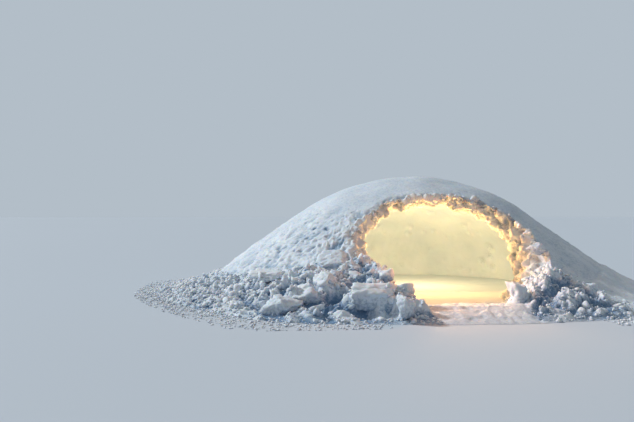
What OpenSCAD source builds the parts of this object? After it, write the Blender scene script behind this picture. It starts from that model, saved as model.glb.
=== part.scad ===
// A mounded snow igloo: a vaulted chamber under a smooth mound, with a wide arched mouth
// broken through its sloping front and a skirt of broken snow blocks round its foot.
// The origin is at ground level under the crown. The mouth faces -Y.

/* [Mound] */
// Height of the crown above the ground
mound_h = 2380; // [2150:10:2900]
// Radius of the rounded crown
crown_r = 4370; // [3700:10:5300]
// Slope of the straight flanks, in degrees
flank_slope = 36; // [32:1:42]

/* [Chamber] */
// Thickness of the snow over the middle of the chamber
crown_t = 400; // [320:10:500]
// Thickness of the wall at ground level
foot_t = 1950; // [1600:10:2300]
// Radius of the curve in which the chamber's wall leaves the ground
haunch_r = 1300; // [1050:10:1450]
// Height of the level joint between the wall and the vault
wall_joint_z = 1000; // [800:10:1150]
// Radius of the crown piece that closes the vault
crown_joint_r = 900; // [700:10:1050]

/* [Mouth] */
// Width of the mouth at its widest
mouth_w = 2950; // [2400:10:3300]
// Width of the mouth at the ground
mouth_foot_w = 2100; // [1700:10:2400]
// Height at which the mouth is widest
mouth_spring_z = 900; // [700:10:1000]
// Drop from the chamber's highest point to the top of the mouth
soffit_drop = 230; // [180:10:350]
// How far the outer edge is broken back at the sides of the mouth
lip_side = 250; // [150:10:300]
// How far the outer edge is broken back at the top of the mouth
lip_top = 130; // [80:10:200]
// Depth of the broken edge behind the outer surface
lip_depth = 250; // [150:10:350]
// How far the broken edge wanders from a true arch
lip_wander = 32; // [0:2:40]
// Height of the trodden sill across the mouth
sill_h = 170; // [100:10:220]

/* [Broken snow] */
// Width of the skirt of broken snow beyond the mound's toe
skirt_w = 900; // [700:10:1100]
// Height at which the skirt starts on the flank
skirt_top = 300; // [240:10:400]
// Height at which the heaps next to the mouth start on the flank
heap_top = 700; // [600:10:780]
// Height at which the outer heaps start on the flank
heap_side_top = 480; // [420:10:560]
// Slope at which the heaps sink to the sill, in degrees
heap_slope = 43.5; // [38:0.5:50]
// How much farther the outer heap on the left reaches
heap_extra = 350; // [150:10:400]
// Smallest strewn block
lump_min = 170; // [120:10:220]
// Largest block in the skirt
lump_max = 380; // [300:10:440]
// Largest block in the heaps
heap_lump_max = 520; // [440:10:560]
// Blocks in each stretch of the skirt
lump_count = 9; // [5:1:12]
// Blocks in each heap
heap_lump_count = 12; // [6:1:14]

/* [Hidden] */
$fn = 360;
SNOW = [0.87, 0.91, 0.95];
SHADED_SNOW = [0.80, 0.86, 0.92];
BROKEN_SNOW = [0.90, 0.93, 0.96];

// Outer profile: a sphere that runs on as a cone
crown_z = mound_h - crown_r;
tangent_r = crown_r * sin(flank_slope);
tangent_z = crown_z + crown_r * cos(flank_slope);
toe_r = tangent_r + tangent_z / tan(flank_slope);

// Inner profile: a basket-handle vault of two tangent arcs
chamber_r = toe_r - foot_t;
chamber_h = mound_h - crown_t;
haunch_x = chamber_r - haunch_r;
vault_r = (chamber_r * chamber_r + chamber_h * chamber_h - 2 * chamber_r * haunch_r)
    / (2 * (chamber_h - haunch_r));
vault_z = chamber_h - vault_r;
haunch_angle = atan2(-vault_z, haunch_x);

// Mouth
mouth_h = chamber_h - soffit_drop;
mouth_a = mouth_w / 2;
mouth_foot = mouth_foot_w / 2;
MOUTH_LOW_STEPS = 6;
MOUTH_TOP_STEPS = 24;
BELOW_GROUND = 100;
mouth_back = 600;
mouth_front = toe_r + skirt_w + 400;

// Joints, as angles round the mound and in the front view
FRONT_HALF = 44;
FRONT_CENTRE = 270;
ring_start = FRONT_CENTRE + FRONT_HALF - 360;
RING = ["right_front", "right_back", "back_right", "back_left", "left_back", "left_front"];
ring_step = (360 - 2 * FRONT_HALF) / len(RING);
JAMB_TOP = 20;
CHEEK_TOP = 45;
HAUNCH_TOP = 73;

// Skirt: two heaps on either side of the mouth and six plain stretches round the rest
skirt_r = toe_r + skirt_w;
bank_tail = 300;
SILL_LEFT = 261;
SILL_RIGHT = 277.5;
HEAP_LEFT = 214;
HEAP_RIGHT = 316;
skirt_step = (360 + HEAP_LEFT - HEAP_RIGHT) / len(RING);
heap_r = skirt_r / cos(FRONT_CENTRE - SILL_LEFT);
LUMP_EDGE = 5;
SKIRT_SEED = 31;

// Heaps: name, angles round the mound, height on the flank, reach, seed
HEAPS = [
    ["heap_left_outer", HEAP_LEFT, 237, heap_side_top, skirt_r + heap_extra, 21],
    ["heap_left_inner", 237, SILL_LEFT, heap_top, heap_r, 32],
    ["heap_right_inner", SILL_RIGHT, 299, heap_top, skirt_r, 29],
    ["heap_right_outer", 299, HEAP_RIGHT, heap_side_top, skirt_r, 34],
];

// How far from the middle of the mouth the heaps beside it end, at ground level
heap_end_left = mouth_foot - 400;
heap_end_right = mouth_foot - 600;

// Blocks that lie apart: name, angle round the mound, distance from its middle,
// length across, depth and height, how far it is turned, how much of its height is sunk, seed
BLOCKS = [
    ["slab_on_flank", 235, 3700, [520, 430, 260], 8, 0.55, 11],
    ["slab_leaning", 233.3, 4290, [300, 240, 360], -35, 0.50, 18],
    ["block_under_slab", 239.4, 4650, [420, 320, 360], -20, 0.50, 12],
    ["plate_on_heap", 219.8, 4300, [620, 480, 200], 20, 0.45, 19],
    ["boulder_left", 237.4, 5100, [540, 360, 300], 10, 0.40, 20],
    ["slab_at_foot", 235.6, 5600, [430, 340, 260], -8, 0.30, 22],
    ["block_by_mouth", 250.2, 5040, [640, 400, 330], 12, 0.45, 13],
    ["block_pointed", 255.8, 5480, [240, 220, 330], 30, 0.15, 14],
    ["block_low", 255.3, 4790, [250, 230, 200], -10, 0.45, 15],
    ["boulder_right", 279.1, 4500, [270, 260, 330], 15, 0.30, 16],
    ["nub_on_shoulder", 297.4, 3440, [300, 210, 170], -12, 0.45, 17],
];

// Height of the mound's outer surface at a distance from its middle
function outer_z(r) = r < tangent_r ? crown_z + sqrt(crown_r * crown_r - r * r)
    : (toe_r - r) * tan(flank_slope);

// Distance of the outer surface from the middle at a height
function outer_r(z) = z < tangent_z ? toe_r - z / tan(flank_slope)
    : sqrt(max(0, crown_r * crown_r - pow(z - crown_z, 2)));

// Height of the chamber's surface at a distance from its middle
function inner_z(r) = r < vault_r * cos(haunch_angle) ? vault_z + sqrt(vault_r * vault_r - r * r)
    : sqrt(max(0, haunch_r * haunch_r - pow(r - haunch_x, 2)));

// Distance of the chamber's surface from the middle at a height
function inner_r(z) = z < haunch_r * sin(haunch_angle) ? haunch_x + sqrt(haunch_r * haunch_r - z * z)
    : sqrt(max(0, vault_r * vault_r - pow(z - vault_z, 2)));

// Even steps from one value to another
function steps(from, to, n) = [for (i = [0:n]) from + (to - from) * i / n];

// Half of the shell, cut where the pieces meet: the wall, the vault and the crown
function wall_profile() = concat(
    [for (z = steps(0, wall_joint_z, 7)) [inner_r(z), z]],
    [[outer_r(wall_joint_z), wall_joint_z], [toe_r, 0]]);

function vault_profile() = concat(
    [for (r = steps(inner_r(wall_joint_z), crown_joint_r, 8)) [r, inner_z(r)]],
    [for (r = steps(crown_joint_r, tangent_r, 9)) [r, outer_z(r)]],
    [[outer_r(wall_joint_z), wall_joint_z]]);

function crown_profile() = concat(
    [for (r = steps(0, crown_joint_r, 5)) [r, inner_z(r)]],
    [for (r = steps(crown_joint_r, 0, 5)) [r, outer_z(r)]]);

// Wander of the broken edge: three sine waves along the arch that don't repeat together
function wander(i) = lip_wander * (0.5 * sin(67 * i + 20) + 0.3 * sin(131 * i + 75) + 0.2 * sin(209 * i));

// True arch of the mouth from its right foot over to its left foot: two curves that
// leave the ground leaning outwards, and a half ellipse over them
function arch() = concat(
    [for (k = steps(0, 1, MOUTH_LOW_STEPS)) if (k < 1)
        [mouth_a - (mouth_a - mouth_foot) * pow(1 - k, 2), mouth_spring_z * k]],
    [for (a = steps(0, 180, MOUTH_TOP_STEPS))
        [mouth_a * cos(a), mouth_spring_z + (mouth_h - mouth_spring_z) * sin(a)]],
    [for (k = steps(1, 0, MOUTH_LOW_STEPS)) if (k < 1)
        [-mouth_a + (mouth_a - mouth_foot) * pow(1 - k, 2), mouth_spring_z * k]]);

// Direction out of the mouth at a point of its outline
function outward(p) = let (d = p - [0, mouth_spring_z]) d / norm(d);

// Outline of the mouth as it is broken out, closed a little below the ground
function mouth_outline() = let (points = arch()) concat(
    [[mouth_foot, -BELOW_GROUND]],
    [for (i = [0:len(points) - 1]) points[i] + outward(points[i]) * wander(i)],
    [[-mouth_foot, -BELOW_GROUND]]);

// How far the lip is broken back at a point, less at the top than at the sides
function lip_width(p) = lip_top + (lip_side - lip_top) * abs(outward(p)[0]);

// Distance of the outer surface in front of the middle, for a point of the front view
function front_y(p) = sqrt(max(0, pow(outer_r(p[1]), 2) - p[0] * p[0]));

// The passage through the shell: the outline carried straight back into the chamber
module passage() {
    translate([0, -mouth_back, 0]) rotate([90, 0, 0])
        linear_extrude(mouth_front - mouth_back) polygon(mouth_outline());
}

// The broken lip: rings that follow the outline, narrow inside the passage and wide where
// they leave the sloping outer surface
module lip_break() {
    inset = 20;
    proud = 60;
    outline = mouth_outline();
    n = len(outline);
    narrow = [for (p = outline) p - outward(p) * inset];
    wide = [for (p = outline) p + outward(p) * lip_width(p)];
    rings = [
        [for (p = narrow) [p[0], -mouth_back, p[1]]],
        [for (p = narrow) [p[0], lip_depth - front_y(p), p[1]]],
        [for (p = wide) [p[0], -front_y(p) - proud, p[1]]],
        [for (p = wide) [p[0], -mouth_front, p[1]]],
    ];
    sides = [for (k = [0:len(rings) - 2], i = [0:n - 1])
        let (a = k * n + i, b = k * n + (i + 1) % n, c = a + n, d = b + n)
        each [[a, c, d], [a, d, b]]];
    polyhedron([for (ring = rings) each ring],
        concat(sides, [[for (i = [0:n - 1]) i], [for (i = [n - 1:-1:0]) (len(rings) - 1) * n + i]]));
}

// A stretch of a revolved profile between two angles round the mound
module sector(profile, from, to) {
    rotate([0, 0, from]) rotate_extrude(angle = to - from) polygon(profile);
}

// The front of the shell between two angles of the front view, with the mouth broken out
module front_piece(from, to) {
    reach = 2 * mouth_front;
    difference() {
        intersection() {
            union() {
                sector(wall_profile(), FRONT_CENTRE - FRONT_HALF, FRONT_CENTRE + FRONT_HALF);
                sector(vault_profile(), FRONT_CENTRE - FRONT_HALF, FRONT_CENTRE + FRONT_HALF);
            }
            rotate([90, 0, 0]) linear_extrude(mouth_front)
                polygon([[0, 0], reach * [cos(from), sin(from)], reach * [cos(to), sin(to)]]);
        }
        passage();
        lip_break();
    }
}

// The flank of the mound between two angles, from which what leans on it is cut back
module flank(from, to) {
    sector([[0, -BELOW_GROUND], [outer_r(-BELOW_GROUND), -BELOW_GROUND], [tangent_r, tangent_z], [0, tangent_z]],
        from, to);
}

// The flank beside the mouth, with the mouth broken out
module open_flank(from, to) {
    difference() {
        flank(from, to);
        passage();
        lip_break();
    }
}

module crown() {
    color(SNOW) rotate_extrude() polygon(crown_profile());
}

module brow() {
    color(SNOW) front_piece(HAUNCH_TOP, 180 - HAUNCH_TOP);
}

module haunch_left() {
    color(SNOW) front_piece(180 - HAUNCH_TOP, 180 - CHEEK_TOP);
}

module haunch_right() {
    color(SNOW) front_piece(CHEEK_TOP, HAUNCH_TOP);
}

module cheek_left() {
    color(SHADED_SNOW) front_piece(180 - CHEEK_TOP, 180 - JAMB_TOP);
}

module cheek_right() {
    color(SHADED_SNOW) front_piece(JAMB_TOP, CHEEK_TOP);
}

module jamb_left() {
    color(SNOW) front_piece(180 - JAMB_TOP, 180);
}

module jamb_right() {
    color(SNOW) front_piece(0, JAMB_TOP);
}

module wall_piece(i) {
    color(i % 2 == 0 ? SNOW : SHADED_SNOW)
        sector(wall_profile(), ring_start + i * ring_step, ring_start + (i + 1) * ring_step);
}

module vault_piece(i) {
    color(i % 2 == 0 ? SHADED_SNOW : SNOW)
        sector(vault_profile(), ring_start + i * ring_step, ring_start + (i + 1) * ring_step);
}

// Height of a bank of broken snow at a distance from the middle of the mound: it leaves the
// flank at the height "top" and sinks to the ground at the distance "reach", hollow side down
function bank_z(r, top, reach) =
    let (start = outer_r(top), k = (r - start) / (reach - start)) top * (1 - k) * (1 + 0.35 * k);

// Half of a bank, carried on under the mound's surface so that it can be cut back to it
function bank_profile(top, reach) = concat(
    [[outer_r(top) - 2 * bank_tail, 0]],
    [for (r = steps(outer_r(top) - bank_tail, reach, 6)) [r, max(0, bank_z(r, top, reach))]]);

// A broken block of packed snow: a box whose edges are knocked off by three turned boxes
module snow_block(size, seed) {
    chop = 0.62;
    t = rands(-9, 9, 9, seed);
    intersection() {
        cube(size, center = true);
        rotate([t[0], t[1], 45 + t[2]]) cube([1, 1, 3] * chop * (size[0] + size[1]), center = true);
        rotate([45 + t[3], t[4], t[5]]) cube([3, 1, 1] * chop * (size[1] + size[2]), center = true);
        rotate([t[6], 45 + t[7], t[8]]) cube([1, 3, 1] * chop * (size[0] + size[2]), center = true);
    }
}

// Blocks strewn over a stretch of a bank, each sunk into it by about half
module strewn_blocks(from, to, top, reach, seed, count, largest) {
    for (i = [0:count - 1]) {
        k = rands(0, 1, 7, seed * 100 + i);
        across = from + LUMP_EDGE + (to - from - 2 * LUMP_EDGE) * (i + k[0]) / count;
        size = lump_min + (largest - lump_min) * pow(k[2], 1.6);
        out = outer_r(top) + size + (reach - outer_r(top) - 2 * size) * k[1];
        rotate([0, 0, across]) translate([out, 0, bank_z(out, top, reach)])
            rotate([20 * k[3], 30 * k[4] - 15, 90 * k[5]])
                snow_block(size * [1, 0.8 + 0.2 * k[6], 0.7], seed * 100 + i);
    }
}

// The ground, at which everything is cut off level
module ground() {
    translate([0, 0, -mound_h / 2]) cube([3 * skirt_r, 3 * skirt_r, mound_h], center = true);
}

// A bank of broken snow between two angles
module bank(from, to, top, reach, seed, count, largest) {
    difference() {
        union() {
            sector(bank_profile(top, reach), from, to);
            strewn_blocks(from, to, top, reach, seed, count, largest);
        }
        ground();
    }
}

// What is free between the heaps: a trough over the sill that widens upwards
module between_heaps() {
    rise = mouth_h / tan(heap_slope);
    rotate([90, 0, 0]) linear_extrude(mouth_front) polygon([
        [-heap_end_left, -BELOW_GROUND], [-heap_end_left, 0], [-heap_end_left - rise, mouth_h],
        [heap_end_right + rise, mouth_h], [heap_end_right, 0], [heap_end_right, -BELOW_GROUND]]);
}

// A heap beside the mouth before it is cut back to the mound: it fills the foot of the opening
module heap_bank(h) {
    difference() {
        bank(h[1], h[2], h[3], h[4], h[5], heap_lump_count, heap_lump_max);
        between_heaps();
    }
}

module heap(h) {
    color(BROKEN_SNOW) difference() {
        heap_bank(h);
        open_flank(h[1] - LUMP_EDGE, h[2] + LUMP_EDGE);
    }
}

module skirt_piece(i) {
    from = HEAP_RIGHT - 360 + i * skirt_step;
    color(BROKEN_SNOW) difference() {
        bank(from, from + skirt_step, skirt_top, skirt_r, SKIRT_SEED + i, lump_count, lump_max);
        flank(from - LUMP_EDGE, from + skirt_step + LUMP_EDGE);
    }
}

// The trodden sill: a low ramp between the two heaps, from inside the mouth to the skirt's edge
module sill() {
    back = outer_r(0) - lip_depth - 2 * sill_h;
    crest = toe_r + skirt_w / 3;
    color(SHADED_SNOW) difference() {
        intersection() {
            sector([[back, 0], [back + sill_h, sill_h * 0.8], [crest, sill_h], [heap_r + skirt_w, sill_h],
                [heap_r + skirt_w, 0]], SILL_LEFT, SILL_RIGHT);
            rotate([90, 0, 90]) linear_extrude(2 * mouth_w, center = true)
                polygon([[0, 0], [0, sill_h], [-crest, sill_h], [-skirt_r, 0]]);
        }
        open_flank(SILL_LEFT - LUMP_EDGE, SILL_RIGHT + LUMP_EDGE);
    }
}

// Height of a heap at a distance from the middle of the mound, cut back beside the sill
function heap_z(h, angle, r) = let (x = r * cos(angle)) r < outer_r(h[3]) ? 0
    : min(bank_z(r, h[3], h[4]), (x < 0 ? -x - heap_end_left : x - heap_end_right) * tan(heap_slope));

// Height of what a block lies on at a place: a heap or the mound, whichever is higher
function lie_z(angle, r) = max(outer_z(r),
    [for (h = HEAPS) if (angle >= h[1] && angle < h[2]) heap_z(h, angle, r)][0]);

// Slope under a block, from two heights a little way apart
function lie_slope(angle, r) = let (apart = 100)
    atan((lie_z(angle, r - apart) - lie_z(angle, r + apart)) / (2 * apart));

// A block that lies apart, bedded on what is under it
module loose_block(b) {
    size = b[3];
    spread = atan(size[0] / b[2]);
    color(BROKEN_SNOW) difference() {
        rotate([0, 0, b[1]]) translate([b[2], 0, lie_z(b[1], b[2]) + size[2] * (0.5 - b[5])])
            rotate([0, lie_slope(b[1], b[2]), 0]) rotate([0, 0, 90 + b[4]]) snow_block(size, b[6]);
        ground();
        open_flank(b[1] - 2 * spread, b[1] + 2 * spread);
        for (h = HEAPS) if (b[1] + spread > h[1] && b[1] - spread < h[2]) heap_bank(h);
        if (b[1] + spread > SILL_LEFT && b[1] - spread < SILL_RIGHT) sill();
    }
}

crown();
brow();
haunch_left();
haunch_right();
cheek_left();
cheek_right();
jamb_left();
jamb_right();
sill();
for (h = HEAPS) heap(h);
for (i = [0:len(RING) - 1]) {
    wall_piece(i);
    vault_piece(i);
    skirt_piece(i);
}
for (b = BLOCKS) loose_block(b);
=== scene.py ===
"""Looks for a mounded snow igloo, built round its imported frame.

Every surface is worked out with numpy on a grid of two parameters. One relief of the snow, read at a point of
space, shapes them all, so that neighbouring pieces meet without a step. Lengths are in metres and angles in
radians unless a name ends in deg or mm. The origin is at ground level under the crown, the mouth faces -Y.
"""

import logging
import math
from collections.abc import Iterator
from dataclasses import dataclass
from enum import Enum
from itertools import product
from typing import Any

import bpy
import numpy as np
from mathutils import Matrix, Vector


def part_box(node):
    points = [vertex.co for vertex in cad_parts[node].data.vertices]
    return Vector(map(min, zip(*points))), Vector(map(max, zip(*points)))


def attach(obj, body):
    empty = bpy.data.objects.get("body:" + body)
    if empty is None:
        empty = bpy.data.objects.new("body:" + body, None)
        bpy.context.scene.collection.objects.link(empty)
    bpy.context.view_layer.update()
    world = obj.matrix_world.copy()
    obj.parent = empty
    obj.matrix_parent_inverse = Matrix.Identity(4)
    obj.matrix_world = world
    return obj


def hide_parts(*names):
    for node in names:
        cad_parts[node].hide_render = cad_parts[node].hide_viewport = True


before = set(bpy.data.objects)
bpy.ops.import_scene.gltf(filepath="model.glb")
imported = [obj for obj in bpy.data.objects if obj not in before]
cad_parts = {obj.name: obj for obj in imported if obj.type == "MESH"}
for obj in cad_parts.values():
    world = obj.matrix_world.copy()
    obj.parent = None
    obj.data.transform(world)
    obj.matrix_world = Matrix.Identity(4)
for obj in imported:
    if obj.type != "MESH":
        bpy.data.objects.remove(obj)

Array = np.ndarray
Vec = tuple[float, float, float]
Profile = tuple[tuple[float, float], ...]
LOG = logging.getLogger("igloo")
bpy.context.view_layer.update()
# What the name of a piece has before that of its node
PREFIX = "snow_"
# Least length by which a vector is divided
TINY = 1e-12
# The lowest and the highest point of a ball
POLES = [[0.0, 0.0, -1.0], [0.0, 0.0, 1.0]]


class Slot(Enum):
    """The finishes, by the names of the record's material slots."""

    WIND_PACKED = "wind_packed_snow"
    MOUTH = "mouth_snow"
    BROKEN = "broken_snow"
    TRODDEN = "trodden_snow"


def ramp(value: Array, low: float, high: float) -> Array:
    """Smooth step: 0 at low, 1 at high, and 3t^2 - 2t^3 between them; low may lie above high."""
    t = np.clip((value - low) / (high - low), 0.0, 1.0)
    return t * t * (3.0 - 2.0 * t)


def between(value: Array, start: float, full: float, fades: float, end: float) -> Array:
    """Smooth rise from 0 at start to 1 at full, and smooth fall from 1 at fades to 0 at end."""
    return ramp(value, start, full) * ramp(value, end, fades)


def follow(value: Array, profile: Profile) -> Array:
    """Height of a line of straight stretches, given as pairs of a place and a height."""
    return np.interp(value, *np.array(profile).T)


def azimuth_deg(points: Array) -> Array:
    """Angle round the mound of each point, from 0 to 360, counted from +X to +Y."""
    return np.degrees(np.arctan2(points[..., 1], points[..., 0])) % 360.0


def away(points: Array) -> Array:
    """Level distance of each point from the upright axis."""
    return np.hypot(points[..., 0], points[..., 1])


def outward(angle_deg: float) -> Array:
    """Level unit vector at an angle round the mound."""
    return np.array([math.cos(math.radians(angle_deg)), math.sin(math.radians(angle_deg)), 0.0])


def ring_points(around: Array) -> Array:
    """Points at angles round the mound, 1 from its middle, (..., 3)."""
    return np.stack([np.cos(around), np.sin(around), np.zeros_like(around)], -1)


def arc(radius: float | Array, off: Array) -> Array:
    """Height of a circle over a place that far off its middle, 0 beyond its end."""
    return np.sqrt(np.maximum(radius**2 - off * off, 0.0))


def unit(vectors: Array) -> Array:
    """The vectors at length 1; one without a length stays as it is."""
    return vectors / np.maximum(np.linalg.norm(vectors, axis=-1, keepdims=True), TINY)


class Lattice:
    """Seeded random values at the whole-number points of space, from which all unevenness is made.

    Below, points are points of space, (..., 3), and length is the side of a cell.
    """

    ROWS = 256
    CORNERS = np.array(list(product((0, 1), repeat=3)))
    # Side of the part of a cell in which its random spot may lie
    ROOM = 0.8

    def __init__(self, seed: int) -> None:
        """Draws the tables.

        Args:
            seed: Seed of the random draws.
        """
        rng = np.random.default_rng(seed)
        self.order = np.tile(rng.permutation(self.ROWS), 2)
        self.leans = unit(rng.normal(size=(self.ROWS, 3)))
        self.spots = rng.random((self.ROWS, 4))

    def pick(self, cell: Array) -> Array:
        """Table row of each lattice point: the shuffled table is read once for each coordinate.

        Args:
            cell: Whole-number points, (..., 3).

        Returns:
            Rows from 0 to ROWS - 1.
        """
        x, y, z = np.moveaxis(cell & (self.ROWS - 1), -1, 0)
        return self.order[self.order[self.order[x] + y] + z]

    def near(self, points: Array, length: float) -> Iterator[tuple[Array, Array, Array]]:
        """The eight cells nearest to each point, each with a random spot.

        Args:
            points: Points of space.
            length: Side of a cell.

        Yields:
            For one cell its table row, its four random numbers and the offset from its spot, in cells.
        """
        place = points / length
        low = np.floor(place - 0.5).astype(np.int64)
        for corner in self.CORNERS:
            cell = low + corner
            row = self.pick(cell)
            draws = self.spots[row]
            yield row, draws, place - (cell + 0.5 + self.ROOM * (draws[..., :3] - 0.5))

    def waves(self, points: Array, length: float) -> Array:
        """Gradient noise: at the corners of a point's cell a random slope times the offset, blended smoothly.

        Args:
            points: Points of space.
            length: Side of a cell.

        Returns:
            Values from about -1 to 1.
        """
        place = points / length
        low = np.floor(place).astype(np.int64)
        offset = place - low
        blend = offset**3 * (offset * (offset * 6.0 - 15.0) + 10.0)
        total = np.zeros(place.shape[:-1])
        for corner in self.CORNERS:
            share = np.where(corner == 1, blend, 1.0 - blend).prod(-1)
            total += share * (self.leans[self.pick(low + corner)] * (offset - corner)).sum(-1)
        return 1.5 * total

    def lumps(self, points: Array, length: float, small: float, large: float, share: float,
              steep: float = 2.0) -> Array:
        """Rounded lumps, one at the spot of a cell: radius times 1 - (distance / radius)^steep.

        Args:
            points: Points of space.
            length: Side of a cell.
            small: Smallest radius.
            large: Largest radius, at most 0.6 of the cell.
            share: Share of the cells that hold a lump.
            steep: Power of the distance; a high one makes steep sides and a flat top.

        Returns:
            Heights, 0 between the lumps.
        """
        best = np.zeros(points.shape[:-1])
        for _, draws, offset in self.near(points, length):
            radius = small + (large - small) * draws[..., 3] ** 2
            distance = np.linalg.norm(offset, axis=-1) * length
            there = (draws[..., 0] * 7.0) % 1.0 < share
            best = np.maximum(best, np.where(there, radius * (1.0 - (distance / radius) ** steep), 0.0))
        return best

    def facets(self, points: Array, length: float, lean: float = 1.0,
               sharp: float = 18.0) -> tuple[Array, Array]:
        """Broken facets: a spot has a level and a lean, and a point takes those of the nearest spot.

        The planes of the spots round a point are blended by exp(-sharp (distance / length)^2), which leaves
        steep but closed steps between them.

        Args:
            points: Points of space.
            length: Side of a cell.
            lean: Slope of the planes.
            sharp: How narrow the steps are.

        Returns:
            Heights from about -0.9 to 0.9, and how near the middle of a facet a point lies, from 0 to 1.
        """
        total, weights, best = (np.zeros(points.shape[:-1]) for _ in range(3))
        for row, draws, offset in self.near(points, length):
            weight = np.exp(-sharp * (offset * offset).sum(-1))
            total += weight * (draws[..., 3] - 0.5 + lean * (self.leans[row] * offset).sum(-1))
            weights += weight
            best = np.maximum(best, weight)
        return total / weights, np.clip(2.0 * best / weights - 1.0, 0.0, 1.0)


@dataclass(frozen=True)
class Mound:
    """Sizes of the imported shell, as in the part's source, and the surfaces that they give."""

    height: float = 2.38
    crown_radius: float = 4.37
    slope: float = math.radians(36.0)
    crown_thickness: float = 0.40
    foot_thickness: float = 1.95
    haunch_radius: float = 1.30
    wall_joint_z: float = 1.00
    crown_joint_r: float = 0.90

    @property
    def centre_z(self) -> float:
        """Height of the centre of the crown's sphere."""
        return self.height - self.crown_radius

    @property
    def tangent_r(self) -> float:
        """Distance at which the sphere runs on as a cone."""
        return self.crown_radius * math.sin(self.slope)

    @property
    def tangent_z(self) -> float:
        """Height at which the sphere runs on as a cone."""
        return self.centre_z + self.crown_radius * math.cos(self.slope)

    @property
    def toe_r(self) -> float:
        """Distance at which the cone meets the ground."""
        return self.tangent_r + self.tangent_z / math.tan(self.slope)

    @property
    def chamber_r(self) -> float:
        """Radius of the chamber at ground level."""
        return self.toe_r - self.foot_thickness

    @property
    def chamber_z(self) -> float:
        """Height of the chamber."""
        return self.height - self.crown_thickness

    @property
    def haunch_x(self) -> float:
        """Distance of the centre of the haunch's arc."""
        return self.chamber_r - self.haunch_radius

    @property
    def vault_radius(self) -> float:
        """Radius of the vault's arc, tangent to the haunch's."""
        square = self.chamber_r**2 + self.chamber_z**2 - 2.0 * self.chamber_r * self.haunch_radius
        return square / (2.0 * (self.chamber_z - self.haunch_radius))

    @property
    def vault_z(self) -> float:
        """Height of the centre of the vault's arc."""
        return self.chamber_z - self.vault_radius

    @property
    def haunch_angle(self) -> float:
        """Angle above the ground at which the two arcs meet."""
        return math.atan2(-self.vault_z, self.haunch_x)

    def outer_z(self, r: Array) -> Array:
        """Height of the outer surface: a sphere near the middle, a cone farther out."""
        sphere = self.centre_z + arc(self.crown_radius, r)
        return np.where(r < self.tangent_r, sphere, (self.toe_r - r) * math.tan(self.slope))

    def outer_r(self, z: Array) -> Array:
        """Distance of the outer surface at a height."""
        sphere = arc(self.crown_radius, z - self.centre_z)
        return np.where(z < self.tangent_z, self.toe_r - z / math.tan(self.slope), sphere)

    def inner_z(self, r: Array) -> Array:
        """Height of the chamber's surface: the vault's arc near the middle, the haunch's arc farther out."""
        vault, haunch = self.vault_z + arc(self.vault_radius, r), arc(self.haunch_radius, r - self.haunch_x)
        return np.where(r < self.vault_radius * math.cos(self.haunch_angle), vault, haunch)

    def inner_r(self, z: Array) -> Array:
        """Distance of the chamber's surface at a height."""
        vault, haunch = arc(self.vault_radius, z - self.vault_z), self.haunch_x + arc(self.haunch_radius, z)
        return np.where(z < self.haunch_radius * math.sin(self.haunch_angle), haunch, vault)


@dataclass(frozen=True)
class Mouth:
    """Sizes of the mouth, as in the part's source, and the outline that they give in the front view.

    A wave of the outline is its share of the wander, its degrees for each step and those at the start.
    """

    width: float = 2.95
    foot_width: float = 2.10
    spring_z: float = 0.90
    height: float = 1.75
    lip_side: float = 0.25
    lip_top: float = 0.13
    lip_depth: float = 0.25
    wander: float = 0.032
    waves: tuple[Vec, ...] = ((0.5, 67.0, 20.0), (0.3, 131.0, 75.0), (0.2, 209.0, 0.0))
    low_steps: int = 6
    top_steps: int = 24

    def outline(self) -> tuple[Array, Array]:
        """The broken arch and its outer rim, from the right foot over to the left one.

        The lower part is x = a - (a - foot)(1 - k)^2 at z = spring k, the upper one half an ellipse. Three
        sine waves push both out from the point (0, spring), and the lip's width pushes the rim out besides.

        Returns:
            The arch and the rim, (n, 2) points of x and z.
        """
        a, foot = self.width / 2.0, self.foot_width / 2.0
        step = np.arange(0.0, 2 * self.low_steps + self.top_steps + 0.05, 0.1)
        k = np.minimum(step, 2 * self.low_steps + self.top_steps - step) / self.low_steps
        turn = np.radians(180.0 * (step - self.low_steps) / self.top_steps)
        side = np.where(step < self.low_steps + self.top_steps / 2, 1.0, -1.0)
        low = np.stack([side * (a - (a - foot) * (1.0 - k) ** 2), self.spring_z * k], -1)
        high = np.stack([a * np.cos(turn), self.spring_z + (self.height - self.spring_z) * np.sin(turn)], -1)
        arch = np.where((k < 1.0)[:, None], low, high)
        out = arch - np.array([0.0, self.spring_z])
        out /= np.linalg.norm(out, axis=1, keepdims=True)
        wave = sum(share * np.sin(np.radians(pace * step + start)) for share, pace, start in self.waves)
        arch = arch + out * (self.wander * wave)[:, None]
        lip = self.lip_top + (self.lip_side - self.lip_top) * np.abs(out[:, :1])
        return arch, arch + out * lip


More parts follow.
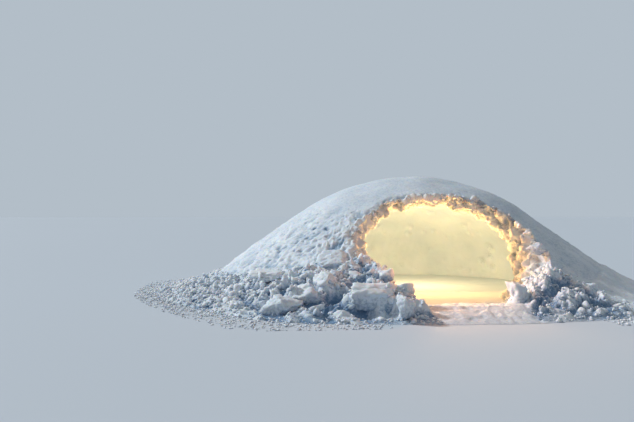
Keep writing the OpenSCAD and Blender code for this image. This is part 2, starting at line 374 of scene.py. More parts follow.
class Relief:
    """The unevenness of the snow: how far each kind of surface stands out at a point of space, and the
    painted shade that goes with it.

    A kind of unevenness is a height times waves, lumps or facets, whose cells have the length that follows.
    """

    # Angles round the mound between which a kind of snow sets in, and between which it ends again
    LEFT_DEG = (188.0, 214.0, 252.0, 268.0)
    BESIDE_DEG = (217.0, 236.0, 254.0, 264.0)
    # How far the snow has settled, and between which angles it sinks so far
    SETTLED = ((0.022, 262.0, 285.0), (0.030, 285.0, 305.0))
    # Folds beside the mouth: height, layer, side of a cell, how much closer they lie on each coordinate
    FOLDS = ((0.030, 2, 0.24, (1.0, 1.0, 1.0)), (0.016, 6, 0.11, (1.0, 1.6, 1.0)))

    def __init__(self) -> None:
        """Draws one lattice for each layer."""
        self.layers = [Lattice(seed) for seed in range(40, 52)]

    def outer(self, points: Array) -> tuple[Array, Array]:
        """The mound's skin: broad swells, patted unevenness, pits and clods, roughest left of the mouth.

        There crooked folds run down the flank: 0.7 - 2 |waves| of coordinates that are stretched downhill.

        Args:
            points: Points of the plain surface.

        Returns:
            How far the snow stands out, and from 0 to 1 the painted shade, more where the fine relief sinks.
        """
        a = self.layers
        around, z = azimuth_deg(points), points[..., 2]
        low = ramp(z, 2.0, 0.6)
        left = between(around, *self.LEFT_DEG) * ramp(z, 1.9, 1.3)
        beside = between(around, *self.BESIDE_DEG) * ramp(z, 1.75, 1.35)
        swell = 0.026 * a[0].waves(points, 1.7) + 0.018 * a[1].waves(points, 0.62)
        patted = (0.004 + 0.012 * low + 0.016 * left) * a[2].waves(points, 0.24)
        patted += (0.0015 + 0.0045 * low + 0.012 * left) * a[3].waves(points, 0.10)
        patted += 0.020 * left * ramp(z, 1.6, 0.9) * a[10].facets(points, 0.11, 1.1, 10.0)[0]
        astray = 0.11 * a[4].waves(points, 0.34) + 0.05 * a[5].waves(points, 0.15)
        folded = np.stack([np.radians(around) * 3.4 + astray, 0.55 * z - astray, np.zeros_like(z)], -1)
        folds = beside * sum(height * (0.7 - 2.0 * np.abs(a[layer].waves(folded * close, length)))
                             for height, layer, length, close in self.FOLDS)
        broken = beside * 0.030 * a[7].facets(points, 0.15, 1.0, 10.0)[0]
        pits = (0.12 + 0.88 * left) * a[4].lumps(points, 0.17, 0.025, 0.062, 0.5)
        clods = (0.12 + 0.88 * low) * a[5].lumps(points, 0.16, 0.015, 0.05, 0.45, 3.0)
        pits += left * a[9].lumps(points, 0.13, 0.02, 0.048, 0.8)
        fine = patted + folds + broken - 0.85 * pits + 0.6 * clods
        settled = sum(depth * ramp(around, start, end) for depth, start, end in self.SETTLED)
        settled *= ramp(around, 360.0, 325.0) * ramp(away(points), 0.1, 1.2)
        # Painted shade: darker where the pits and folds sink below the skin
        return swell + fine - settled, np.clip(0.35 - fine / 0.05, 0.0, 1.0)

    def lip(self, points: Array) -> tuple[Array, Array]:
        """The broken edge and the passage: coarse breaks, lumps and crumbs.

        Args:
            points: Points of the plain surface.

        Returns:
            How far the snow stands out, and the painted shade, more where the breaks sink.
        """
        a = self.layers
        fine = 0.085 * a[6].facets(points, 0.26, 1.1, 12.0)[0]
        fine += 0.050 * a[7].facets(points, 0.12, 1.2, 10.0)[0]
        fine += 0.022 * a[8].facets(points, 0.06, 1.2, 9.0)[0]
        fine += 0.3 * a[8].lumps(points, 0.17, 0.03, 0.085, 0.4, 3.0)
        # Painted shade: darker where the breaks sink
        return 0.035 * a[5].waves(points, 0.55) + fine - 0.02, np.clip(0.38 - fine / 0.11, 0.0, 1.0)

    def inner(self, points: Array) -> tuple[Array, Array]:
        """The chamber's skin: broad swells and shallow scoops left by the digging.

        Args:
            points: Points of the plain surface.

        Returns:
            How far the snow stands out, and the painted shade, more in the scoops.
        """
        a = self.layers
        fine = -0.22 * a[9].lumps(points, 0.30, 0.06, 0.16, 0.8) + 0.006 * a[3].waves(points, 0.12)
        # Painted shade: darker in the scoops
        return 0.024 * a[1].waves(points, 0.8) + fine, np.clip(0.1 - fine / 0.12, 0.0, 0.45)

    def bed(self, points: Array, coarse: Array) -> tuple[Array, Array]:
        """Broken snow: leaning facets of three sizes, with gaps between them and crumbs on them.

        Args:
            points: Points of the plain bank.
            coarse: How large the blocks are there, from 0 to 1.

        Returns:
            How far the snow stands out, and the painted shade, more where the facets sink and in the gaps
            between them.
        """
        a = self.layers
        big, big_mid = a[8].facets(points, 0.48, 1.1, 14.0)
        middle, middle_mid = a[9].facets(points, 0.22, 1.2, 11.0)
        small, small_mid = a[10].facets(points, 0.105, 1.3, 9.0)
        crumbs = a[11].lumps(points, 0.10, 0.02, 0.055, 0.6)
        gaps = 0.05 * coarse * (1.0 - big_mid) ** 2 + 0.035 * (1.0 - middle_mid) ** 2
        gaps += 0.012 * (1.0 - small_mid)
        fine = 0.19 * coarse * big + 0.10 * middle + 0.05 * small + 0.3 * crumbs - gaps
        # Painted shade: darker where the facets sink and in the gaps between them
        return fine, np.clip(0.40 - fine / 0.12 + 0.3 * (1.0 - middle_mid) ** 2, 0.0, 1.0)


class Skin:
    """Collects the patches of one piece and makes its mesh."""

    def __init__(self) -> None:
        """Starts empty."""
        self.points: list[Array] = []
        self.normals: list[Array] = []
        self.hollow: list[Array] = []
        self.worn: list[Array] = []
        self.faces: list[Array] = []
        self.smooth: list[Array] = []
        self.count = 0

    def add(self, points: Array, faces: list[Array], hollow: Array, normals: Array | None = None,
            worn: Array | None = None, smooth: bool = True) -> None:
        """Adds a patch.

        Args:
            points: Its points, (..., 3), and in the same order what follows for each.
            faces: Arrays of corner numbers within the patch, one row for each face.
            hollow: Painted shade at each point, and on loose pieces also their random tone, which is limited
                to between 0 and 1.
            normals: Directions that the shading takes, or none for plain smooth shading.
            worn: How far the finish's second look holds, or none for nowhere.
            smooth: Whether the shading runs smoothly over its edges.
        """
        self.points.append(points.reshape(-1, 3))
        self.hollow.append(np.clip(hollow, 0.0, 1.0).ravel())
        self.normals.append((np.zeros_like(points) if normals is None else normals).reshape(-1, 3))
        self.worn.append((np.zeros_like(hollow) if worn is None else worn).ravel())
        self.faces += [rows + self.count for rows in faces]
        self.smooth += [np.full(len(rows), smooth) for rows in faces]
        self.count += hollow.size

    def build(self, node: str) -> bpy.types.Object:
        """Makes the mesh object.

        Args:
            node: The node that it stands for.

        Returns:
            The object, linked to the scene.
        """
        points = np.concatenate(self.points)
        sides = np.concatenate([np.full(len(rows), rows.shape[1]) for rows in self.faces])
        starts = np.concatenate([[0], np.cumsum(sides)[:-1]])
        corners = np.concatenate([rows.ravel() for rows in self.faces]).astype(np.int32)
        mesh = bpy.data.meshes.new(PREFIX + node)
        mesh.vertices.add(len(points))
        mesh.vertices.foreach_set("co", points.astype(np.float32).ravel())
        mesh.loops.add(len(corners))
        mesh.loops.foreach_set("vertex_index", corners)
        mesh.polygons.add(len(sides))
        mesh.polygons.foreach_set("loop_start", starts.astype(np.int32))
        mesh.polygons.foreach_set("use_smooth", np.concatenate(self.smooth))
        mesh.update(calc_edges=True)
        mesh.validate()
        # The first attribute is painted shade, with the random tone of loose pieces; the second picks the
        # finish's second look
        for kind, values in (("hollow", self.hollow), ("worn", self.worn)):
            attribute = mesh.attributes.new(kind, "FLOAT", "POINT")
            attribute.data.foreach_set("value", np.concatenate(values).astype(np.float32))
        mesh.normals_split_custom_set_from_vertices(np.concatenate(self.normals).astype(np.float32))
        return link(PREFIX + node, mesh)


def link(name: str, data: bpy.types.ID, place: Vec | None = None, facing: Vec | None = None,
         axis: str = "-Z") -> bpy.types.Object:
    """Makes an object of a mesh, a light or a camera and links it to the scene.

    Args:
        name: Its name.
        data: The mesh, light or camera.
        place: Where it stands, or none for the origin.
        facing: Where its axis points, or none for no turn.
        axis: The axis that is turned so.

    Returns:
        The object.
    """
    made = bpy.data.objects.new(name, data)
    if place is not None:
        made.location = place
    if facing is not None:
        made.rotation_mode = "QUATERNION"
        made.rotation_quaternion = Vector(facing).to_track_quat(axis, "Y")
    bpy.context.scene.collection.objects.link(made)
    return made


def grid_faces(nu: int, nv: int, wrap_u: bool = False, wrap_v: bool = False) -> Array:
    """Four-sided faces of a grid whose point (i, j) has the number i nv + j; they face along du x dv.

    Args:
        nu: Points along the first parameter.
        nv: Points along the second.
        wrap_u: Whether the last row joins the first.
        wrap_v: Whether the last column joins the first.

    Returns:
        Corner numbers, (faces, 4).
    """
    rows, columns = nu if wrap_u else nu - 1, nv if wrap_v else nv - 1
    i, j = np.divmod(np.arange(rows * columns), columns)
    k, m = (i + 1) % nu, (j + 1) % nv
    return np.stack([i * nv + j, k * nv + j, k * nv + m, i * nv + m], -1)


def tube_faces(nu: int, nv: int) -> list[Array]:
    """Faces of a tube of nu closed loops of nv points: the sides and a flat face at each end."""
    loop = np.arange(nv)
    return [grid_faces(nu, nv, wrap_v=True), loop[None, :], ((nu - 1) * nv + loop[::-1])[None, :]]


def inset_tube_faces(nu: int, nv: int) -> list[Array]:
    """Faces of a tube of closed loops whose ends are set in: each end loop joins a second one.

    The second loops follow the grid's points, first that of the start. A strip fills each and joins its
    point j to its point nv - 1 - j.

    Args:
        nu: Loops.
        nv: Points in a loop, an even number.

    Returns:
        The sides, and the link and the strip of each end.
    """
    j = np.arange(nv)
    k = np.roll(j, -1)
    half = j[:nv // 2 - 1]
    start, end, last = nu * nv, (nu + 1) * nv, (nu - 1) * nv
    strip = np.stack([half, half + 1, nv - 2 - half, nv - 1 - half], -1)
    return [grid_faces(nu, nv, wrap_v=True), np.stack([j, k, start + k, start + j], -1), start + strip,
            np.stack([last + k, last + j, end + j, end + k], -1), end + strip[:, ::-1]]


def ball_faces(nu: int, nv: int) -> list[Array]:
    """Faces of a closed grid between two poles, which are the points nu nv and nu nv + 1.

    Args:
        nu: Points round it.
        nv: Rings between the poles.

    Returns:
        The sides and the fans round the poles.
    """
    i = np.arange(nu)
    k = (i + 1) % nu
    first = np.stack([np.full(nu, nu * nv), k * nv, i * nv], -1)
    last = np.stack([np.full(nu, nu * nv + 1), i * nv + nv - 1, k * nv + nv - 1], -1)
    return [grid_faces(nu, nv, wrap_u=True), first, last]


def grid_normals(points: Array) -> Array:
    """Unit normals of a grid along du x dv, by central differences, without its outer rows and columns."""
    return unit(np.cross(points[2:, 1:-1] - points[:-2, 1:-1], points[1:-1, 2:] - points[1:-1, :-2]))


def wider(values: Array) -> Array:
    """The values with one more step at either end."""
    return np.concatenate([[2 * values[0] - values[1]], values, [2 * values[-1] - values[-2]]])


def grid_line(start: float, end: float, steps: float) -> Array:
    """Evenly spaced values from start to end, with one more at either end."""
    return wider(np.linspace(start, end, round(steps) + 1))


def grid_angles(from_deg: float, to_deg: float, steps: float) -> Array:
    """Evenly spaced angles, in radians, with one more at either end."""
    return wider(np.radians(np.linspace(from_deg, to_deg, round(steps) + 1)))


def soften(points: Array, times: int) -> Array:
    """Rounds the corners of each row of a grid: a point moves to a quarter, a half and a quarter of three.

    Args:
        points: The grid, (nu, nv, 3).
        times: How often.

    Returns:
        The rounded grid; the ends of the rows stay.
    """
    for _ in range(times):
        middle = 0.25 * points[:, :-2] + 0.5 * points[:, 1:-1] + 0.25 * points[:, 2:]
        points = np.concatenate([points[:, :1], middle, points[:, -1:]], 1)
    return points


def turned(r: Array, z: Array, around: Array) -> Array:
    """Points of a profile at angles round the mound, (angles, profile, 3)."""
    return np.stack([np.cos(around)[:, None] * r, np.sin(around)[:, None] * r,
                     np.broadcast_to(z, (len(around), len(z)))], -1)


def lift(points: Array, level: float = 0.0) -> None:
    """Lifts the points that lie below a level up to it."""
    points[..., 2] = np.maximum(points[..., 2], level)


def spin_z(angle: float) -> Array:
    """Matrix of a turn about the upright axis."""
    c, s = math.cos(angle), math.sin(angle)
    return np.array([[c, -s, 0], [s, c, 0], [0, 0, 1]])


def spin_y(angle: float) -> Array:
    """Matrix of a turn about the Y axis, which leans +X down."""
    c, s = math.cos(angle), math.sin(angle)
    return np.array([[c, 0, s], [0, 1, 0], [-s, 0, c]])


@dataclass(frozen=True)
class ShellRing:
    """The round wall, the vault over it and the crown piece."""

    mound: Mound
    relief: Relief
    start_deg: float = -46.0
    step_deg: float = (360.0 - 88.0) / 6.0
    inner_spacing: float = 0.05
    vault_spacing: float = 0.04
    # How much longer the skin of the vault is than its level width
    stretched: float = 1.12
    # Distances from the middle at which the crown's inner and outer grid end before the poles
    inner_pole_r: float = 0.03
    outer_pole_r: float = 0.02
    # Painted shade at the two poles of the crown
    pole_shade: float = 0.3

    def skin_patch(self, r: Array, z: Array, around: Array, outside: bool) -> tuple[Array, Array, Array]:
        """One revolved surface with its relief.

        Args:
            r: Distances of the profile, one more than needed at either end.
            z: Heights of the profile.
            around: Angles round the mound, one more than needed at either end.
            outside: Whether it is the mound's skin, and not the chamber's.

        Returns:
            Points, normals and painted shade, all without the extra rows.
        """
        plain = turned(r, z, around)
        lean = np.gradient(np.stack([r, z], -1), axis=0)
        lean /= np.linalg.norm(lean, axis=1, keepdims=True)
        facing = turned(lean[:, 1], -lean[:, 0], around)
        amount, hollow = (self.relief.outer if outside else self.relief.inner)(plain)
        points = plain + facing * amount[..., None]
        return points[1:-1, 1:-1], grid_normals(points), hollow[1:-1, 1:-1]

    def segment(self, node: str, wall: bool, index: int, spacing: float) -> bpy.types.Object:
        """A wall or vault segment: a closed profile loop carried round the mound.

        Args:
            node: The node that it stands for.
            wall: Whether it is a wall piece, and not a vault piece.
            index: Which of the six.
            spacing: Distance between grid points on the outer skin.

        Returns:
            The piece.
        """
        m = self.mound
        joint_z, crown_r = m.wall_joint_z, m.crown_joint_r
        low_r, joint_r = (float(reach(np.array(joint_z))) for reach in (m.outer_r, m.inner_r))
        from_deg = self.start_deg + index * self.step_deg
        steps = math.radians(self.step_deg) * low_r / spacing
        around = grid_angles(from_deg, from_deg + self.step_deg, steps)
        if wall:
            z = grid_line(0.0, joint_z, joint_z / math.sin(m.slope) / spacing)
            outer = m.outer_r(z), z
            z = grid_line(joint_z, 0.0, joint_z / self.inner_spacing)
            inner = m.inner_r(z), z
        else:
            r = grid_line(low_r, crown_r, (low_r - crown_r) * self.stretched / spacing)
            outer = r, m.outer_z(r)
            r = grid_line(crown_r, joint_r, (joint_r - crown_r) / self.vault_spacing)
            inner = r, m.inner_z(r)
        parts = self.skin_patch(*outer, around, True), self.skin_patch(*inner, around, False)
        points, normals, hollow = (np.concatenate(pair, 1) for pair in zip(*parts))
        lift(points)
        if wall:
            points[:, [0, -1], 2] = 0.0
        skin = Skin()
        skin.add(points, tube_faces(*points.shape[:2]), hollow, normals)
        return skin.build(node)

    def crown(self, node: str, spacing: float) -> bpy.types.Object:
        """The crown piece: a disc between two poles.

        Args:
            node: The node that it stands for.
            spacing: Distance between grid points at its edge.

        Returns:
            The piece.
        """
        edge = self.mound.crown_joint_r
        count = round(2 * math.pi * edge / spacing)
        around = 2 * math.pi * np.arange(-1, count + 1) / count
        r = wider(np.linspace(self.inner_pole_r, edge, round(edge / self.inner_spacing)))
        inner = self.skin_patch(r, self.mound.inner_z(r), around, False)
        r = wider(np.linspace(edge, self.outer_pole_r, round(edge / spacing)))
        outer = self.skin_patch(r, self.mound.outer_z(r), around, True)
        points, normals, hollow = (np.concatenate(pair, 1) for pair in zip(inner, outer))
        poles = np.stack([points[:, 0].mean(0), points[:, -1].mean(0)])
        skin = Skin()
        skin.add(np.concatenate([points.reshape(-1, 3), poles]), ball_faces(*points.shape[:2]),
                 np.concatenate([hollow.ravel(), [self.pole_shade] * 2]),
                 np.concatenate([normals.reshape(-1, 3), POLES]))
        return skin.build(node)


@dataclass(frozen=True)
class MouthFront:
    """The front of the shell, in which the mouth is broken out, in pieces between angles of the front view.

    A size of crumbs is its share of all crumbs, its smallest and largest, and the points and rings on each.
    """

    mound: Mound
    mouth: Mouth
    relief: Relief
    half_deg: float = 44.0
    turn_step_deg: float = 0.5
    border_steps: int = 400
    skin_steps: int = 84
    lip_steps: int = 14
    passage_steps: int = 40
    inner_steps: int = 27
    softened: int = 4
    inset: float = 0.03
    # How far the broken look reaches beyond the lip, on the mound's skin and on the chamber's
    broken_out: float = 0.22
    broken_in: float = 0.25
    crumbs_per_deg: float = 1.6
    crumbs: tuple[tuple[float, float, float, int, int], ...] = (
        (0.22, 0.07, 0.14, 12, 7), (0.7, 0.025, 0.07, 7, 4))
    # How far a crumb stands out, in its size, and how unequal its three sizes are
    stands_out: tuple[float, float] = (-0.15, 0.2)
    uneven: tuple[float, float] = (0.7, 1.1)

    def border(self, turn: Array, outside: bool) -> Array:
        """Distance from the ground centre line to the edge of the front pieces, in the front view.

        The edge is where the surface meets the upright planes at half_deg beside the middle and, higher up,
        the circle of the crown joint.

        Args:
            turn: Angles of the front view.
            outside: Whether on the mound's skin, and not the chamber's.

        Returns:
            The distances.
        """
        m = self.mound
        height, low_r = (m.outer_z, m.toe_r) if outside else (m.inner_z, m.chamber_r)
        r = np.linspace(low_r, m.crown_joint_r, self.border_steps)
        across, up = r * math.sin(math.radians(self.half_deg)), height(r)
        steep = np.minimum(turn, math.pi - turn)
        edge = np.interp(steep, np.arctan2(up, across), np.hypot(across, up))
        top = float(height(np.array(m.crown_joint_r)))
        return np.where(steep > math.atan2(top, across[-1]), top / np.sin(np.maximum(steep, 0.3)), edge)

    def paths(self, turn: Array) -> tuple[Array, Array]:
        """Section of the front at each angle: mound's skin, lip, passage, chamber's skin, border to border.

        Args:
            turn: Angles of the front view.

        Returns:
            The section's points with one extra at either end, (angles, points, 3), and how far each belongs
            to the broken edge, from 0 to 1.
        """
        m = self.mound
        across, up = np.cos(turn)[:, None], np.sin(turn)[:, None]

        def reach(line: Array) -> Array:
            """Distance of an outline at the angles."""
            at = (np.arctan2(line[:, 1], line[:, 0]) + math.pi / 2) % (2 * math.pi) - math.pi / 2
            return np.interp(turn, at, np.hypot(line[:, 0], line[:, 1]))[:, None]

        def skin(rho: Array, radius: Any) -> Array:
            """Points of a revolved surface at distances of the front view."""
            x, z = rho * across, rho * up
            return np.stack([x, -arc(radius(z), x), z], -1)

        hole, edge = (reach(line) for line in self.mouth.outline())
        s = wider(np.linspace(0.0, 1.0, self.skin_steps))[:-1]
        border = self.border(turn, True)[:, None]
        outer = skin(border + (edge - border) * s, m.outer_r)
        start = skin(edge, m.outer_r)
        depth = np.full_like(hole, self.mouth.lip_depth)
        bend = start + np.concatenate([(hole - edge) * across, depth, (hole - edge) * up], -1)[:, None, :]
        lip = start + (bend - start) * np.linspace(0.0, 1.0, self.lip_steps + 1)[1:, None]
        back = skin(hole, m.inner_r)
        passage = bend + (back - bend) * np.linspace(0.0, 1.0, self.passage_steps + 1)[1:, None]
        s = wider(np.linspace(0.0, 1.0, self.inner_steps))[2:]
        border = self.border(turn, False)[:, None]
        inner = skin(hole + (border - hole) * s, m.inner_r)
        path = soften(np.concatenate([outer, lip, passage, inner], 1), self.softened)
        steps = np.linalg.norm(np.diff(path, axis=1, prepend=path[:, :1]), axis=-1).cumsum(1)
        first, last = outer.shape[1] - 1, path.shape[1] - inner.shape[1]
        before = steps[:, first:first + 1] - steps
        after = steps - steps[:, last:last + 1]
        return path, ramp(before, self.broken_out, 0.0) * ramp(after, self.broken_in, 0.0)

    def piece(self, node: str, from_deg: float, to_deg: float, chunks: "Chunks") -> bpy.types.Object:
        """A piece of the front between two angles of the front view: the section carried over the mouth.

        Args:
            node: The node that it stands for.
            from_deg: The angle at which it starts, 0 at the right foot.
            to_deg: The angle at which it ends.
            chunks: Maker of the crumbs that stick to the broken edge.

        Returns:
            The piece.
        """
        plain, broken = self.paths(grid_angles(from_deg, to_deg, (to_deg - from_deg) / self.turn_step_deg))
        facing = unit(np.cross(np.gradient(plain, axis=0), np.gradient(plain, axis=1)))
        outside = np.arange(plain.shape[1]) < self.skin_steps + self.lip_steps + self.passage_steps // 2
        # The relief's second values are painted shade, those of the lip where the edge is broken
        amount, hollow = (np.where(outside, out, inn)
                          for out, inn in zip(self.relief.outer(plain), self.relief.inner(plain)))
        lip_amount, lip_shade = self.relief.lip(plain)
        amount += (lip_amount - amount) * broken
        hollow += (lip_shade - hollow) * broken
        points = plain + facing * amount[..., None]
        normals = grid_normals(points)
        points, hollow, broken = (field[1:-1, 1:-1] for field in (points, hollow, broken))
        lift(points)
        ends = points[[0, -1]] - self.inset * normals[[0, -1]]
        lift(ends)
        skin = Skin()
        hollow, normals, broken = (np.concatenate([field, field[[0, -1]]])
                                   for field in (hollow, normals, broken))
        skin.add(np.concatenate([points, ends]), inset_tube_faces(*points.shape[:2]), hollow, normals, broken)
        rng = np.random.default_rng(round(from_deg) + 5)
        for share, small, large, around, rings in self.crumbs:
            count = round((to_deg - from_deg) * self.crumbs_per_deg * share)
            i = rng.integers(2, len(points) - 2, count)
            j = self.skin_steps + rng.integers(-4, self.lip_steps + 5, count)
            size = small + (large - small) * rng.random(count)[:, None] ** 2
            place = points[i, j] + normals[i, j] * size * rng.uniform(*self.stands_out, (count, 1))
            sizes = size * rng.uniform(*self.uneven, (count, 3))
            chunks.add(skin, *chunks.make(rng, place, sizes, around, rings), 1.0)
        return skin.build(node)


@dataclass(frozen=True)
class Chunks:
    """Broken pieces of snow, many at once, each with flat sides and rounded edges."""

    relief: Relief
    edge: float = 26.0
    askew: float = 0.22
    further_sides: int = 5
    box_reach: tuple[float, float] = (0.85, 1.1)
    further_reach: tuple[float, float] = (0.8, 1.25)
    lean: float = 0.55
    # From this many points round them, chunks have chips, and from the second one on finer ones too
    chipped_from: int = 11
    finer_from: int = 21

    def make(self, rng: np.random.Generator, centre: Array, size: Array, around: int, rings: int,
             spin: bool = True) -> tuple[Array, list[Array]]:
        """Makes the chunks.

        A chunk has the six sides of a box, a little askew, and five random ones farther out. In a direction u
        its radius is (sum over the sides of max(0, n u / d)^edge)^(-1 / edge), with n the side's normal and d
        its distance, which rounds the edges. Waves roughen it, and the larger chunks are chipped.

        Args:
            rng: Source of the random draws.
            centre: Middles, (n, 3).
            size: Length, width and height of each, (n, 3).
            around: Points round each.
            rings: Rings of points on each.
            spin: Whether they are turned at random.

        Returns:
            Points, (n, points, 3), and the faces of one chunk.
        """
        n, more = len(centre), self.further_sides
        lon = 2 * math.pi * np.arange(around) / around
        lat = math.pi * (np.arange(rings) + 0.75) / (rings + 0.5) - math.pi / 2
        ball = turned(np.cos(lat), np.sin(lat), lon).reshape(-1, 3)
        ball = np.concatenate([ball, POLES])
        box = np.concatenate([np.eye(3), -np.eye(3)]) + rng.normal(scale=self.askew, size=(n, 6, 3))
        sides = np.concatenate([box, rng.normal(size=(n, more, 3))], 1)
        sides /= np.linalg.norm(sides, axis=-1, keepdims=True)
        apart = [rng.uniform(*self.box_reach, (n, 6)), rng.uniform(*self.further_reach, (n, more))]
        share = np.einsum("pc,nkc->npk", ball, sides) / np.concatenate(apart, 1)[:, None, :]
        share = np.maximum(share, 0.0)
        radius = (share**self.edge).sum(-1) ** (-1.0 / self.edge)
        points = ball * radius[..., None]
        at = points + rng.uniform(0, 90, (n, 1, 3))
        a = self.relief.layers
        rough = 0.10 * a[0].waves(at, 1.1) + 0.05 * a[1].waves(at, 0.4)
        if around >= self.chipped_from:
            rough += 0.11 * a[6].facets(at, 0.5, 1.0, 12.0)[0]
        if around >= self.finer_from:
            rough += 0.09 * a[7].facets(at, 0.24, 1.2, 10.0)[0]
            rough += 0.03 * a[3].waves(at, 0.13)
        points *= (1.0 + rough[..., None]) * size[:, None, :] / 2.0
        if spin:
            points = self.turn(rng, points)
        return points + centre[:, None, :], ball_faces(around, rings)

    def turn(self, rng: np.random.Generator, points: Array) -> Array:
        """Turns each chunk at random, mostly about the upright: the matrix of a random unit quaternion.

        Args:
            rng: Source of the random draws.
            points: Points, (n, points, 3).

        Returns:
            Turned points.
        """
        quarter = rng.normal(size=(len(points), 4)) * [1.0, self.lean, self.lean, 1.0]
        w, x, y, z = quarter.T / np.linalg.norm(quarter, axis=1)
        rows = [1 - 2 * (y * y + z * z), 2 * (x * y - z * w), 2 * (x * z + y * w),
                2 * (x * y + z * w), 1 - 2 * (x * x + z * z), 2 * (y * z - x * w),
                2 * (x * z - y * w), 2 * (y * z + x * w), 1 - 2 * (x * x + y * y)]
        return np.einsum("nij,npj->npi", np.stack(rows, -1).reshape(-1, 3, 3), points)

    @staticmethod
    def add(skin: Skin, points: Array, faces: list[Array], worn: float = 0.0, tone: Any = 0.0,
            smooth: bool = False) -> None:
        """Adds chunks to a piece; their lower sides get painted shade, and none goes below the ground.

        Args:
            skin: The piece's skin.
            points: Points, (n, points, 3).
            faces: Faces of one chunk.
            worn: How far the finish's second look holds on them.
            tone: How much darker each is than the rest, one number or (n, 1).
            smooth: Whether the shading runs smoothly over their edges.
        """
        n, each = points.shape[:2]
        low, high = points[..., 2].min(1, keepdims=True), points[..., 2].max(1, keepdims=True)
        # Painted shade: darker towards the bottom of each chunk, plus its random tone
        hollow = 0.75 - 0.9 * (points[..., 2] - low) / (high - low) + tone
        lift(points)
        shift = (np.arange(n) * each)[:, None, None]
        faces = [(rows[None] + shift).reshape(-1, rows.shape[1]) for rows in faces]
        skin.add(points, faces, hollow, worn=np.full((n, each), worn), smooth=smooth)


@dataclass(frozen=True)
class Strewn:
    """A size of loose pieces: how many for each square metre, sizes, faces and place across the bank."""

    density: float
    small: float
    large: float
    around: int
    rings: int
    first: float
    last: float
    coarse: bool = False


@dataclass(frozen=True)
class Stretch:
    """A stretch of the bank: node, seed, angles, grid spacing and how thickly loose pieces lie on it."""

    node: str
    seed: int
    from_deg: float
    to_deg: float
    spacing: float
    rich: float
    middle_r: float = 4.9

    @property
    def arc(self) -> float:
        """Length of the stretch along the middle of the bank."""
        return math.radians(self.to_deg - self.from_deg) * self.middle_r


